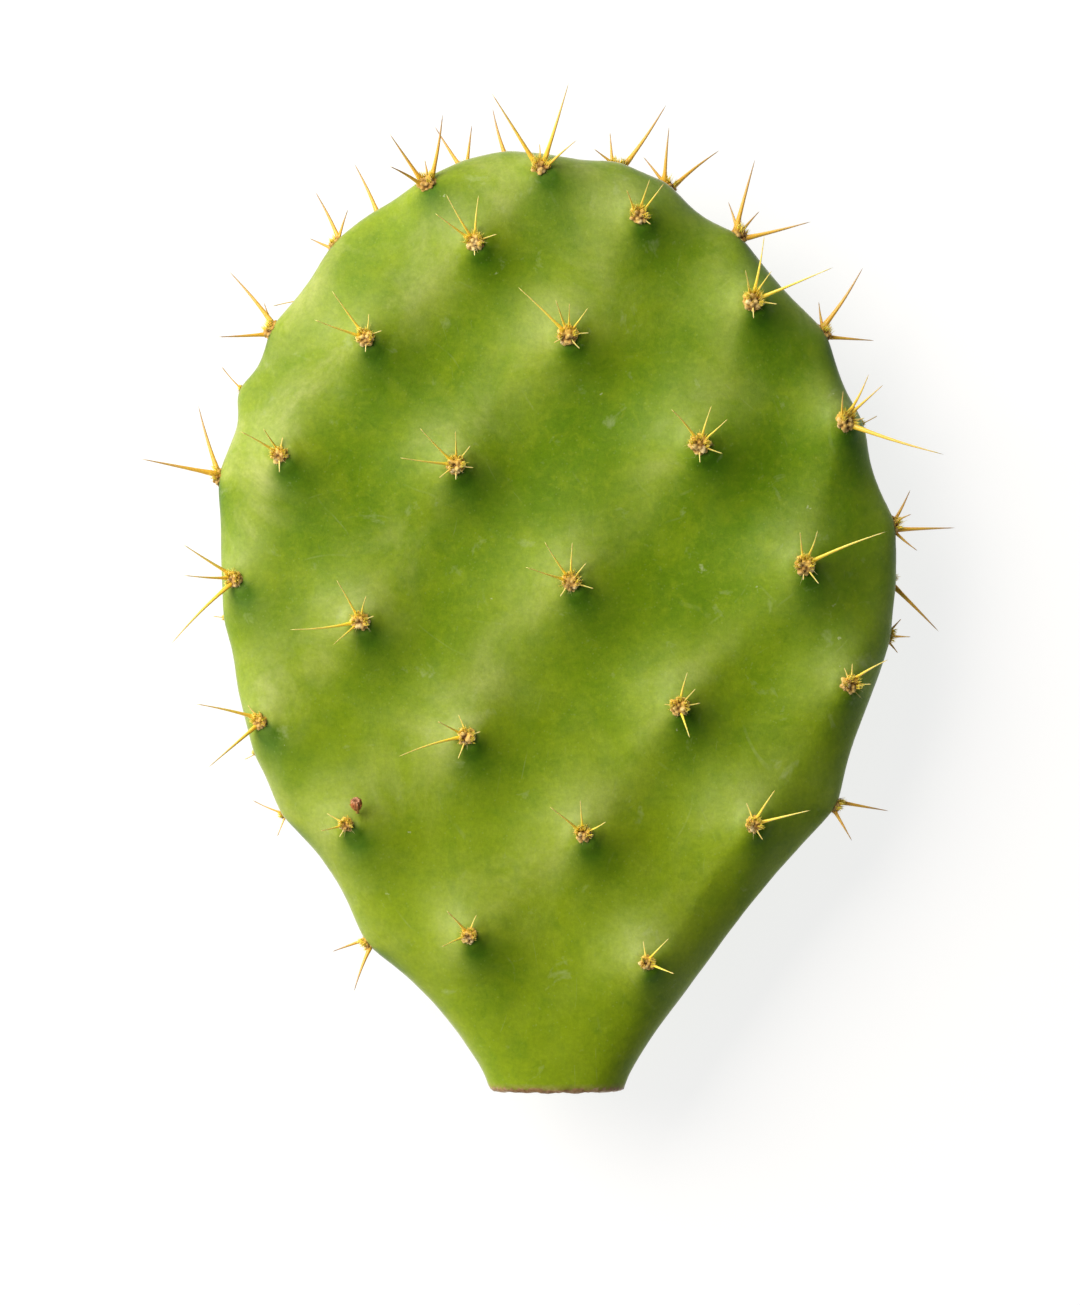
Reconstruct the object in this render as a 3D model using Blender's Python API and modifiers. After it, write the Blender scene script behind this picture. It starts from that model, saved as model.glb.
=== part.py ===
"""Prickly pear cactus pad, cut from its plant and lying on its back.

Frame: +X across the pad, +Y from the cut end towards the tip, +Z up out of the front face. The origin is
on the surface that the pad lies on, under the middle of everything. All lengths below are in millimetres
and all angles in degrees; they become metres where a mesh is made.
"""

import math
import random
from typing import NamedTuple

import bmesh
import bpy
from mathutils import Matrix, Vector
from mathutils.bvhtree import BVHTree

MM = 0.001
OBJECT_NAME = "prickly_pear_pad"
GAP = 0.3  # between an areole and the skin that it grows on
FAR_OUT = 500.0  # rays towards the pad start here, clear of it
JUST_OUT = 10.0  # rays towards a mound start here, clear of the mound
TINY = 1e-9

# The pad
PAD_LENGTH = 174.4  # from the cut end to the tip
PAD_HALF_WIDTH = 62.3
PAD_CENTRE_ROW = 95.0  # the point that the rim's bearings are counted from
PAD_HALF_THICKNESS = 9.0
MIDDLE_HEIGHT = 20.5  # of the pad's middle plane over the surface
WIDEST_ROW = 102.0  # height of the widest row over the cut end
TIP_ROUNDNESS = 1.92  # superellipse power of the upper outline: 2 would be an ellipse
NECK_HALF_WIDTH = 12.5
NECK_FLARE = 2.2
NECK_WAIST = 1.33
EDGE_ROUNDNESS = 7.0  # the higher, the flatter the faces and the rounder the rim
TIP_LEAN = -3.6  # how far the tip leans sideways from the neck
NECK_LEAN = 0.4
BELOW_CUT = 22.0  # what is sawn off under the neck
SAW_SIZE = (60.0, 50.0, 40.0)
GRID_CUTS = 19  # cuts along each edge of the cube that the pad is shaped from

# Mounds under the areoles
MOUND_SHARPNESS = 1.3
FACE_MOUND = 3.2
FACE_MOUND_REACH = 9.0
RIM_MOUND = 2.2
RIM_MOUND_REACH = 6.5
BACK_MOUND = 2.8

# Areoles: a domed cushion and its spines
CUSHION_SIDES = 9
CUSHION_RINGS = 6
CUSHION_RISE = 0.8  # height of the dome over its radius
SPINE_SIDES = 5
SPINE_ROOT_SPREAD = 0.55  # how far from the cushion's middle a spine is rooted, over its radius
SPINE_ROOT_RISE = 0.25  # how high over the cushion's flat side, over its radius
SPINE_ROOT_RADIUS = 0.27
SPINE_ROOT_GROWTH = 0.012  # added root radius for each millimetre of length
SHORT_SPINE = 3.5
SHORT_LIFT = 14.0
LONG_LIFT = 20.0
STEEP_LIFT = 50.0
LONG_REACH = 11.0

# Areoles on the front face: x, y, cushion radius, and each spine's heading and its reach seen from above
FACE_AREOLES = (
    (-2.8, 172.0, 2.3, ((123, 14.0), (72, 14.0), (39, 6.5), (92, 3.0))),
    (-14.8, 159.6, 2.1, ((122, 8.0), (85, 6.5), (146, 7.0), (17, 3.0), (-90, 1.5))),
    (-35.2, 142.0, 2.1, ((126, 8.5), (162, 8.0), (82, 3.0), (22, 2.0), (-90, 1.5))),
    (-51.0, 120.1, 2.1, ((150, 6.5), (123, 4.0), (80, 2.0), (-90, 2.0))),
    (-59.0, 97.1, 2.0, ((147, 9.5), (177, 7.5), (-134, 14.5))),
    (-54.0, 70.7, 2.0, ((166, 10.5), (-139, 11.0), (130, 2.5))),
    (-38.7, 51.0, 1.7, ((150, 3.0), (-167, 3.5), (-120, 1.5))),
    (-18.6, 118.4, 2.2, ((135, 7.5), (90, 4.5), (52, 3.0), (174, 8.5), (-10, 2.0), (-90, 1.5), (-141, 2.5))),
    (-36.5, 89.0, 2.1, ((-173, 11.0), (119, 7.0), (75, 3.5), (20, 1.5), (-138, 5.0))),
    (-16.6, 67.3, 2.1, ((-164, 11.0), (110, 3.0), (151, 4.5), (20, 1.5), (-111, 3.0))),
    (2.4, 142.7, 2.3, ((137, 10.5), (110, 5.0), (87, 4.0), (52, 4.5), (5, 2.5), (-49, 2.0), (-150, 1.5))),
    (3.0, 96.5, 2.3, ((124, 7.0), (88, 5.5), (50, 3.0), (-18, 3.0), (163, 7.0), (-125, 2.0))),
    (15.2, 164.0, 2.2, ((112, 3.5), (72, 5.0), (52, 5.5), (-39, 1.5))),
    (27.2, 122.2, 2.4, ((131, 6.5), (74, 5.5), (42, 5.0), (-23, 3.0), (-90, 2.0))),
    (23.4, 73.0, 2.2, ((78, 5.0), (48, 3.0), (9, 2.5), (172, 1.5), (-73, 4.5))),
    (36.4, 148.5, 2.4, ((102, 4.0), (80, 10.0), (56, 4.5), (22, 13.5), (-8, 3.0), (-90, 2.0))),
    (46.6, 99.6, 2.3, ((99, 4.5), (70, 5.0), (22, 14.0), (-53, 3.0), (-95, 1.5))),
    (53.2, 126.1, 2.4, ((93, 4.0), (62, 7.5), (42, 7.5), (11, 2.0), (-19, 16.5))),
    (-22.8, 168.8, 2.2, ((125, 9.5), (79, 11.0), (152, 6.0), (100, 3.0))),
    (54.3, 77.4, 2.2, ((85, 2.5), (32, 6.5), (0, 2.5), (112, 2.0))),
    (5.3, 49.0, 2.0, ((95, 5.0), (140, 6.5), (30, 3.5))),
    (37.0, 51.0, 2.0, ((60, 6.0), (15, 9.0), (110, 3.0), (-60, 2.0))),
    (-16.0, 30.0, 1.8, ((130, 5.0), (-160, 4.0), (70, 3.0))),
    (17.0, 25.0, 1.8, ((50, 5.0), (-20, 4.0), (100, 3.0))),
)

# Areoles on the rim: bearing from the pad's centre, height over the middle plane, cushion radius, spines
RIM_AREOLES = (
    (96, -1.5, 1.6, ((106, 9.0),)),
    (102, -2.0, 1.8, ((122, 8.5), (82, 7.0))),
    (115, -2.5, 1.6, ((115, 10.0),)),
    (122, -0.5, 2.0, ((116, 9.5), (72, 5.5), (155, 4.0))),
    (137, 0.0, 2.1, ((129, 12.0), (-176, 8.5), (112, 4.0))),
    (161, 0.5, 2.0, ((107, 12.0), (169, 13.5))),
    (-140, 0.0, 1.7, ((157, 5.0), (-110, 3.0))),
    (82, -0.5, 2.1, ((94, 5.5), (143, 4.0), (56, 13.5))),
    (75, -0.5, 2.1, ((127, 5.5), (85, 9.5), (39, 10.5))),
    (63, 0.5, 2.3, ((106, 5.0), (75, 12.5), (50, 5.0), (13, 11.5))),
    (44, 0.0, 2.1, ((98, 4.5), (56, 12.5), (-4, 8.0))),
    (11, -1.0, 2.1, ((62, 6.0), (25, 3.0), (2, 10.5), (-42, 5.0))),
    (2, -2.0, 1.6, ((-45, 12.0),)),
    (-8, -1.0, 1.8, ((48, 3.0), (-3, 3.5), (-50, 2.5))),
    (-38, 0.0, 1.9, ((-10, 9.0), (-60, 6.0))),
    (-117, 0.0, 1.8, ((-160, 6.0), (-110, 8.0))),
)
RIM_LIFT = 12.0

# Areoles on the back face, which carry the pad on their spines: rows as (y, how many)
BACK_ROWS = ((30, 2), (54, 3), (78, 4), (102, 3), (126, 4), (150, 2))
BACK_PITCH = 29.0
BACK_WANDER = 2.5
BACK_RADIUS = 2.1
BACK_LIFT = 46.0
BACK_LIFT_SPREAD = 6.0
BACK_HEADING_SPREAD = 14.0
BEARING_HEADINGS = (150, 40)  # these two reach the surface
FREE_HEADINGS = (95, -70)  # these end above it
FREE_REACHES = (6.0, 2.5)
SEED = 11

# The dried bud beside one face areole: profile of the turned body as (radius, height along its axis)
BUD_NEIGHBOUR = 6  # index in FACE_AREOLES
BUD_OFFSET = (1.6, 2.0)
BUD_LEAN = 40.0
BUD_HEADING = 52.0
BUD_PROFILE = (
    (0.0, 3.9), (0.9, 3.7), (1.25, 3.0), (1.3, 2.3), (1.05, 1.5), (0.6, 0.9), (0.5, 0.0), (0.0, 0.0),
)
BUD_STEPS = 12


class Seat(NamedTuple):
    """Where an areole grows: a point of the smooth pad, its normal, and the mound raised under it."""

    point: Vector
    normal: Vector
    mound: float
    mound_reach: float


def clear_scene():
    for old in list(bpy.data.objects):
        bpy.data.objects.remove(old)


def new_collection(name):
    made = bpy.data.collections.new(name)
    bpy.context.scene.collection.children.link(made)
    return made


def new_material(name, colour, roughness):
    material = bpy.data.materials.new(name)
    material.use_nodes = True
    shader = material.node_tree.nodes["Principled BSDF"]
    shader.inputs["Base Color"].default_value = (*colour, 1.0)
    shader.inputs["Roughness"].default_value = roughness
    shader.inputs["Metallic"].default_value = 0.0
    return material


def heading_vector(heading, lift):
    """A unit vector that points along a heading in the XY plane and rises by lift."""
    turn = math.radians(heading)
    rise = math.radians(lift)
    return Vector((math.cos(turn) * math.cos(rise), math.sin(turn) * math.cos(rise), math.sin(rise)))


# ---- the pad ----


def half_width(y):
    """Half the pad's width at a height over the cut end."""
    if y >= WIDEST_ROW:
        climb = (y - WIDEST_ROW) / (PAD_LENGTH - WIDEST_ROW)
        return PAD_HALF_WIDTH * max(0.0, 1 - climb**TIP_ROUNDNESS) ** (1 / TIP_ROUNDNESS)
    climb = max(y, 0.0) / WIDEST_ROW
    swell = (1 - (1 - climb) ** NECK_FLARE) ** NECK_WAIST
    return NECK_HALF_WIDTH + (PAD_HALF_WIDTH - NECK_HALF_WIDTH) * swell


def centre_line(y):
    return NECK_LEAN + TIP_LEAN * (max(y, 0.0) / PAD_LENGTH) ** 3


def pad_point(ball_point):
    """Where a point of the unit ball lies on the smooth pad: rows of the ball become rows of the pad."""
    across, along, out = ball_point
    reach = PAD_LENGTH - WIDEST_ROW if along > 0 else WIDEST_ROW + BELOW_CUT
    y = WIDEST_ROW + along * reach
    row_share = across / math.sqrt(max(1 - along * along, TINY))
    rim_share = min(1.0, math.sqrt(across * across + along * along))
    thickness = math.sqrt(1 - rim_share**EDGE_ROUNDNESS) * PAD_HALF_THICKNESS
    return Vector((
        centre_line(y) + max(-1.0, min(1.0, row_share)) * half_width(y),
        y,
        MIDDLE_HEIGHT + math.copysign(thickness, out),
    ))


def smooth_pad():
    """The pad without its mounds: a cube cut into even squares, blown up to a ball, then shaped."""
    shape = bmesh.new()
    bmesh.ops.create_cube(shape, size=2.0)
    bmesh.ops.subdivide_edges(shape, edges=shape.edges[:], cuts=GRID_CUTS, use_grid_fill=True)
    for vertex in shape.verts:
        even = Vector([math.tan(c * math.pi / 4) for c in vertex.co])
        vertex.co = pad_point(even.normalized())
    bmesh.ops.recalc_face_normals(shape, faces=shape.faces[:])
    shape.normal_update()
    return shape


def seat_on(shape, tree, origin, direction, mound, mound_reach):
    """The seat where a ray meets the smooth pad."""
    point, _, index, _ = tree.ray_cast(origin, direction)
    shape.faces.ensure_lookup_table()
    normal = sum((corner.normal for corner in shape.faces[index].verts), Vector())
    return Seat(point, normal.normalized(), mound, mound_reach)


def find_seats(shape):
    """The seats of all areoles, as three lists: face, rim and back."""
    tree = BVHTree.FromBMesh(shape)
    up = Vector((0, 0, 1))
    face = []
    for x, y, _, _ in FACE_AREOLES:
        face.append(seat_on(shape, tree, Vector((x, y, FAR_OUT)), -up, FACE_MOUND, FACE_MOUND_REACH))
    rim = []
    for bearing, height, _, _ in RIM_AREOLES:
        outwards = heading_vector(bearing, 0)
        start = Vector((0, PAD_CENTRE_ROW, MIDDLE_HEIGHT + height)) + outwards * FAR_OUT
        rim.append(seat_on(shape, tree, start, -outwards, RIM_MOUND, RIM_MOUND_REACH))
    wander = random.Random(SEED)
    back = []
    for y, count in BACK_ROWS:
        for i in range(count):
            x = centre_line(y) + (i - (count - 1) / 2) * BACK_PITCH
            start = Vector((
                x + wander.uniform(-BACK_WANDER, BACK_WANDER),
                y + wander.uniform(-BACK_WANDER, BACK_WANDER),
                -FAR_OUT,
            ))
            back.append(seat_on(shape, tree, start, up, BACK_MOUND, FACE_MOUND_REACH))
    return face, rim, back


def raise_mounds(shape, seats):
    """Pushes the skin out around each seat, most at the seat itself."""
    moves = []
    for vertex in shape.verts:
        push = 0.0
        for seat in seats:
            away = (vertex.co - seat.point).length / seat.mound_reach
            facing = max(0.0, vertex.normal.dot(seat.normal))
            push += seat.mound * facing * math.exp(-(away**MOUND_SHARPNESS))
        moves.append(vertex.normal * push)
    for vertex, move in zip(shape.verts, moves):
        vertex.co += move
    shape.normal_update()


def make_object(name, shape, collection, material, parent, smooth=True):
    """An object from a bmesh in millimetres. The bmesh is freed."""
    bmesh.ops.scale(shape, vec=(MM, MM, MM), verts=shape.verts[:])
    mesh = bpy.data.meshes.new(name)
    shape.to_mesh(mesh)
    shape.free()
    if smooth:
        mesh.shade_smooth()
    if material:
        mesh.materials.append(material)
    made = bpy.data.objects.new(name, mesh)
    collection.objects.link(made)
    made.parent = parent
    return made


def as_cutter(tool):
    tool.hide_render = True
    tool.display_type = "WIRE"


def add_boolean(target, tool, operation):
    modifier = target.modifiers.new(operation.lower(), "BOOLEAN")
    modifier.operation = operation
    modifier.solver = "EXACT"
    modifier.use_self = operation == "UNION"
    modifier.object = tool


def cut_neck(pad, cutters, parent):
    """Saws the pad off square at the neck, at y = 0."""
    blade = bmesh.new()
    bmesh.ops.create_cube(blade, size=1.0)
    bmesh.ops.scale(blade, vec=SAW_SIZE, verts=blade.verts[:])
    bmesh.ops.translate(blade, vec=(0, -SAW_SIZE[1] / 2, MIDDLE_HEIGHT), verts=blade.verts[:])
    saw = make_object("neck_saw", blade, cutters, None, parent, smooth=False)
    as_cutter(saw)
    add_boolean(pad, saw, "DIFFERENCE")


# ---- areoles ----


def spine_lift(reach):
    """Short spines hug the skin, long ones lie out, and those in between stand up the most."""
    if reach < SHORT_SPINE:
        return SHORT_LIFT
    share = (LONG_REACH - reach) / (LONG_REACH - SHORT_SPINE)
    return LONG_LIFT + (STEEP_LIFT - LONG_LIFT) * max(0.0, min(1.0, share))


def cushion_shape(radius):
    """A dome with a flat underside at z = 0."""
    dome = bmesh.new()
    bmesh.ops.create_uvsphere(dome, u_segments=CUSHION_SIDES, v_segments=CUSHION_RINGS, radius=radius)
    lower = [vertex for vertex in dome.verts if vertex.co.z < -GAP]
    bmesh.ops.delete(dome, geom=lower, context="VERTS")
    rim = [edge for edge in dome.edges if edge.is_boundary]
    bmesh.ops.holes_fill(dome, edges=rim, sides=CUSHION_SIDES)
    bmesh.ops.scale(dome, vec=(1, 1, CUSHION_RISE), verts=dome.verts[:])
    bmesh.ops.recalc_face_normals(dome, faces=dome.faces[:])
    return dome


def clear_height(tree, seat, radius):
    """How far along its normal a seat's areole stands so that its flat side clears the skin by GAP."""
    tilt = seat.normal.to_track_quat("Z", "Y")
    spots = [Vector()]
    for ring in (0.5, 1.0):
        for side in range(CUSHION_SIDES):
            spots.append(ring * radius * heading_vector(360 * side / CUSHION_SIDES, 0))
    heights = []
    for spot in spots:
        start = seat.point + tilt @ spot + seat.normal * JUST_OUT
        hit = tree.ray_cast(start, -seat.normal)[0]
        if hit is not None:
            heights.append((hit - seat.point).dot(seat.normal))
    return max(heights) + GAP


def add_areole(name, place, normal, radius, spines, group):
    """A cushion with its spines joined to it. Each spine is (direction in the pad's frame, length or None);
    None makes it just reach the surface that the pad lies on."""
    tilt = normal.to_track_quat("Z", "Y")
    needles = bmesh.new()
    for direction, length in spines:
        aim = tilt.inverted() @ direction
        sideways = Vector((aim.x, aim.y, 0)).normalized()
        root = sideways * radius * SPINE_ROOT_SPREAD + Vector((0, 0, radius * SPINE_ROOT_RISE))
        if length is None:
            length = (place + tilt @ root).z / -direction.z
        thickness = SPINE_ROOT_RADIUS + SPINE_ROOT_GROWTH * length
        stand = Matrix.Translation(root) @ aim.to_track_quat("Z", "Y").to_matrix().to_4x4()
        bmesh.ops.create_cone(
            needles,
            cap_ends=True,
            segments=SPINE_SIDES,
            radius1=thickness,
            radius2=0,
            depth=length,
            matrix=stand @ Matrix.Translation((0, 0, length / 2)),
        )
    areole = make_object(name, cushion_shape(radius), group.parts, group.areole, group.parent)
    tools = make_object(name + "_spines", needles, group.cutters, group.areole, group.parent, smooth=False)
    as_cutter(tools)
    for piece in (areole, tools):
        piece.location = place * MM
        piece.rotation_euler = tilt.to_euler()
    add_boolean(areole, tools, "UNION")


class Group(NamedTuple):
    """Where the areoles are put and what they are made of."""

    parts: bpy.types.Collection
    cutters: bpy.types.Collection
    parent: bpy.types.Object
    areole: bpy.types.Material


def add_face_areoles(seats, tree, group):
    for number, (seat, (_, _, radius, spines)) in enumerate(zip(seats, FACE_AREOLES), 1):
        place = seat.point + seat.normal * clear_height(tree, seat, radius)
        needles = []
        for heading, reach in spines:
            lift = spine_lift(reach)
            needles.append((heading_vector(heading, lift), reach / math.cos(math.radians(lift))))
        add_areole(f"face_areole_{number:02d}", place, seat.normal, radius, needles, group)


def add_rim_areoles(seats, tree, group):
    for number, (seat, (_, _, radius, spines)) in enumerate(zip(seats, RIM_AREOLES), 1):
        place = seat.point + seat.normal * clear_height(tree, seat, radius)
        needles = []
        for order, (heading, reach) in enumerate(spines):
            lift = RIM_LIFT if order % 2 else -RIM_LIFT / 2
            needles.append((heading_vector(heading, lift), reach / math.cos(math.radians(lift))))
        add_areole(f"rim_areole_{number:02d}", place, seat.normal, radius, needles, group)


def add_back_areoles(seats, tree, group):
    """The back areoles: two spines of each just touch the surface, and the rest end above it."""
    wander = random.Random(SEED)

    def aim(heading, lift):
        turned = heading + wander.uniform(-BACK_HEADING_SPREAD, BACK_HEADING_SPREAD)
        return heading_vector(turned, -lift - wander.uniform(-BACK_LIFT_SPREAD, BACK_LIFT_SPREAD))

    for number, seat in enumerate(seats, 1):
        place = seat.point + seat.normal * clear_height(tree, seat, BACK_RADIUS)
        needles = [(aim(heading, BACK_LIFT), None) for heading in BEARING_HEADINGS]
        needles += [(aim(heading, SHORT_LIFT), reach) for heading, reach in zip(FREE_HEADINGS, FREE_REACHES)]
        add_areole(f"back_areole_{number:02d}", place, seat.normal, BACK_RADIUS, needles, group)


# ---- the dried bud ----


def add_bud(tree, parts, material, parent):
    """A small turned bud that leans out beside its areole."""
    x, y, _, _ = FACE_AREOLES[BUD_NEIGHBOUR]
    start = Vector((x + BUD_OFFSET[0], y + BUD_OFFSET[1], FAR_OUT))
    skin = tree.ray_cast(start, Vector((0, 0, -1)))[0]
    profile = bmesh.new()
    points = [profile.verts.new((radius, 0, height)) for radius, height in BUD_PROFILE]
    for above, below in zip(points, points[1:]):
        profile.edges.new((above, below))
    bud = make_object("dried_bud", profile, parts, material, parent, smooth=False)
    turn = bud.modifiers.new("turn", "SCREW")
    turn.steps = BUD_STEPS
    turn.render_steps = BUD_STEPS
    turn.use_merge_vertices = True
    turn.merge_threshold = 0.01 * MM
    turn.use_smooth_shade = True
    bud.rotation_euler = heading_vector(BUD_HEADING, 90 - BUD_LEAN).to_track_quat("Z", "Y").to_euler()
    sunk_edge = BUD_PROFILE[-2][0] * math.sin(math.radians(BUD_LEAN))
    bud.location = (skin + Vector((0, 0, GAP + sunk_edge))) * MM


# ---- the whole ----


def centre_on_origin(parent, parts):
    """Moves the parent so that the origin lies under the middle of everything."""
    finished = bpy.context.evaluated_depsgraph_get()
    corners = []
    for piece in parts.objects:
        if piece.type == "MESH":
            solid = piece.evaluated_get(finished)
            corners += [solid.matrix_world @ vertex.co for vertex in solid.data.vertices]
    for axis in (0, 1):
        values = [corner[axis] for corner in corners]
        parent.location[axis] -= (min(values) + max(values)) / 2


def build():
    clear_scene()
    parts = new_collection(OBJECT_NAME)
    cutters = new_collection("cutters")
    skin = new_material("cactus_skin", (0.22, 0.36, 0.06), 0.55)
    wool = new_material("areole_wool", (0.62, 0.40, 0.12), 0.9)
    bud_skin = new_material("dried_bud_skin", (0.33, 0.10, 0.04), 0.8)
    parent = bpy.data.objects.new("lying_pad", None)
    parts.objects.link(parent)

    shape = smooth_pad()
    face, rim, back = find_seats(shape)
    raise_mounds(shape, face + rim + back)
    tree = BVHTree.FromBMesh(shape)
    pad = make_object("pad", shape, parts, skin, parent)
    cut_neck(pad, cutters, parent)

    group = Group(parts, cutters, parent, wool)
    add_face_areoles(face, tree, group)
    add_rim_areoles(rim, tree, group)
    add_back_areoles(back, tree, group)
    add_bud(tree, parts, bud_skin, parent)
    centre_on_origin(parent, parts)


build()
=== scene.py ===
"""The looks of a prickly pear pad that lies on its back: skin, felt, spines, bud, light and camera.

Frame: +X across the pad, +Y from its cut end to its tip, +Z up out of its front face. Lengths are in
millimetres and angles in degrees; they become metres where a mesh, a light or the camera is made.
"""

import math
from typing import NamedTuple

import bmesh
import bpy
import numpy as np
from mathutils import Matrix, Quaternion, Vector, noise
from mathutils.bvhtree import BVHTree


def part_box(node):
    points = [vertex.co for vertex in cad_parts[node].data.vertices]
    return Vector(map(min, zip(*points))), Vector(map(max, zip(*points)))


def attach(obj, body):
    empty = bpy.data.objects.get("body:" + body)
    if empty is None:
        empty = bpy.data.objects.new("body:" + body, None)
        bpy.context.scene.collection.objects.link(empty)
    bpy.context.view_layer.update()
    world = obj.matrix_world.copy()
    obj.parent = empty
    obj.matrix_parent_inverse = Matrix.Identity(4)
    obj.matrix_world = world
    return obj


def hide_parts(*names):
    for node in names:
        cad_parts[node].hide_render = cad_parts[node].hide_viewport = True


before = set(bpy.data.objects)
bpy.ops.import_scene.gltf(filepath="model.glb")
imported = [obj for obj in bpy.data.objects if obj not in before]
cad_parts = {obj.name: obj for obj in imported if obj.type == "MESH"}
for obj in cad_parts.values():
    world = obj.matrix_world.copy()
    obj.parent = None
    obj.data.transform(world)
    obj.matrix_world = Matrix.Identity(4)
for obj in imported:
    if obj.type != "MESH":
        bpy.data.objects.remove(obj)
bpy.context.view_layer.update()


class Areole(NamedTuple):
    """One areole as packed: its flat side's middle, outward normal and radius, and its spines."""

    name: str
    middle: Vector
    normal: Vector
    radius: float
    spines: tuple  # of (root, tip)
    girth: float  # of its spines, over those where the pad lies level


class Layer(NamedTuple):
    """A colour that lies over others. Its share is the product of the shares that its values give."""

    colour: tuple
    spreads: tuple  # for each value: its name, two levels, and the shares there if not 0 and 1
    pattern: tuple = ()  # what its noise, dots, scratches or nicks are made with


MM = 0.001
BODY = "root"
UP = Vector((0, 0, 1))
FAR_OUT = 500.0  # level rays towards the pad start here
JUST_OUT = 10.0  # rays back to a cushion's place start here, above the skin
SPIRAL = math.pi * (3 - math.sqrt(5))  # the golden angle
SEED = 23
SEED_STEPS = (17.3, 5.1, 9.7)  # from one seed to the next in the noise
SEED_SPAN = 50  # an areole draws its felt's seed from 0 to this

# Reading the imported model
WELD = 0.001
STRAIGHT = 0.96  # edges that point this much the same way meet in a spine's tip
LEVEL = 0.95  # a normal's share along Z where the pad counts as level
STEEP = 0.7  # and where it counts as its rim
OUTSIDE_CUSHION = 1.1  # a tip is at least this many cushion radii from the middle
LEAST_TIPWARDS = 0.2  # where the skin nearly faces the pad's tip, up stands in for tipwards

# Skin: the net
SUBDIVISIONS = 3
CUT_FACING = 0.999  # a normal's share along -Y that makes a face the cut end
NET_SIZE = 0.69  # side of one square
SMOOTHING_ROUNDS = 4
SMOOTHING_SHARE = 0.5  # of the way to the middle of a point's neighbours

# Skin: the relief. At its reach from where it is highest, a rise has fallen to about a third
MOUND = (7.0, 1.15)  # reach and sharpness
FELT_SUNK = 0.25  # how deep a cushion sits in the skin
COLLAR_RISE = 0.28
COLLAR_WIDTH = 0.9
COLLAR_OFFSET = 0.7  # from the cushion's edge to the collar's crest
VALLEY_DEPTH = 2.2  # between the ridges that join the areoles
VALLEY_LEAN = 0.6  # share by which they are deeper on the right than in the middle
VALLEY_SHARE_ON_RIM = 0.25
VALLEY_UNEVENNESS = (0.7, 36.0, 8)  # share of their depth, length and seed
CREST = (9.5, 1.2)  # of the ground round an areole that no valley lowers
RIDGE = (8.0, 1.4)
RIDGE_SHARE = 0.5  # height of a ridge over the valley's depth
RIDGE_HEADING = -128.0  # the ridges run down and to the left
RIDGE_TURN = 30.0  # at most, off that heading
RIDGE_LENGTH = 40.0  # at most
WANDER = (5.0, 24.0)  # how far the ridges stray, and the length of their bends
WANDER_SEEDS = (4, 5, 6)  # for X, Y and Z
SWELL = (0.7, 22.0, 1)  # height, length and seed of the broad waves
RIPPLE = (0.09, 5.0, 2)

# Skin: where light and shade are painted into its colour
SHADED_SIDE = (0.47, -0.88, 0.0)  # the side of a cushion away from the light
BELOW_REACH = 6.6  # of the painted shade on that side
ABOVE_REACH = 8.5  # of the pale painted highlight on the other side
SUN_BEARING = 138.0  # slopes that face this way, towards the key light, get the most painted light

# Skin: the dry scar of the cut. Places on it go from 0 in the middle to 1 at the edge
CUT_DEPTH = 1.6
CUT_LIP = (0.5, 0.86, 0.1)  # height, place and reach
CUT_GRAIN = (0.25, 1.1, 3)  # height, length and seed
CUT_FOLDS = (0.35, 13)  # depth and number
CUT_FOLD_SWAY = (2.5, 6.0, 5)  # in radians of a fold
CUT_FOLD_START = 0.25
CUT_FOLD_FADE = 0.2  # over this much inside the edge
CUT_OUTSIDE = 1.2  # the place of all that is farther out
CUT_BLEND = 20.0  # valleys and waves are at their full height this far from the cut
CORK_CLIMB = 3.5  # how far the cork runs up the skin's side
CORK_CLIMB_SHARE = 0.6

# Felt cushions
CUSHION_HEIGHT = 0.86  # over its radius
CUSHION_UNDERSIDE = 0.4
HOLLOW = (0.24, 0.42)  # depth and reach of the hollow in the middle, over the radius
HOLLOW_SHADE = 0.8
LUMPS = 44
LUMP_WANDER = 0.12
LUMP_REACH = 0.4
LUMP_FOOT = 1.2  # where a lump's slope ends, over its reach
LUMP_HEIGHT = 0.42
LUMP_UNEVENNESS = 0.6
FELT_GRAIN = ((0.05, 0.16), (0.06, 0.4))  # height and length, over the radius
BALL_SUBDIVISIONS = 4
FIBRES = 70
FIBRE_POINTS = 4
FIBRE_LENGTH = (0.5, 1.1)
FIBRE_MAKE = (0.035, 1.0, 3)  # radius, share by which it thins, and sides
FIBRE_LOWEST = 0.05  # over the cushion's radius
FIBRE_SPLAY = 0.5
FIBRE_CURL = 0.25
FIBRE_SUNK = 0.25  # share of a fibre that lies in the felt

# Spines
SPINE_SIDES = 10
SPINE_RINGS = 13
SPINE_ROOT_RADIUS = 0.225
SPINE_ROOT_GROWTH = 0.0105  # added root radius for each millimetre of length
SPINE_TAPER = 0.8
SPINE_TIP_RADIUS = 0.1
SPINE_FLATNESS = 0.82
SPINE_BOW = 0.035  # sideways bend over length
SPINE_BULB = (0.22, 0.12, 0.09)  # how much the root swells, and where and how far, over the length
SPINE_EXTRA = 0.08  # how far it goes on past its packed tip, over its length
FAINT = {"rim_areole_07": 0.55}  # drawn this much smaller than packed
RIM_GIRTH = 0.45  # how much thicker the spines on the rim are

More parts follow.
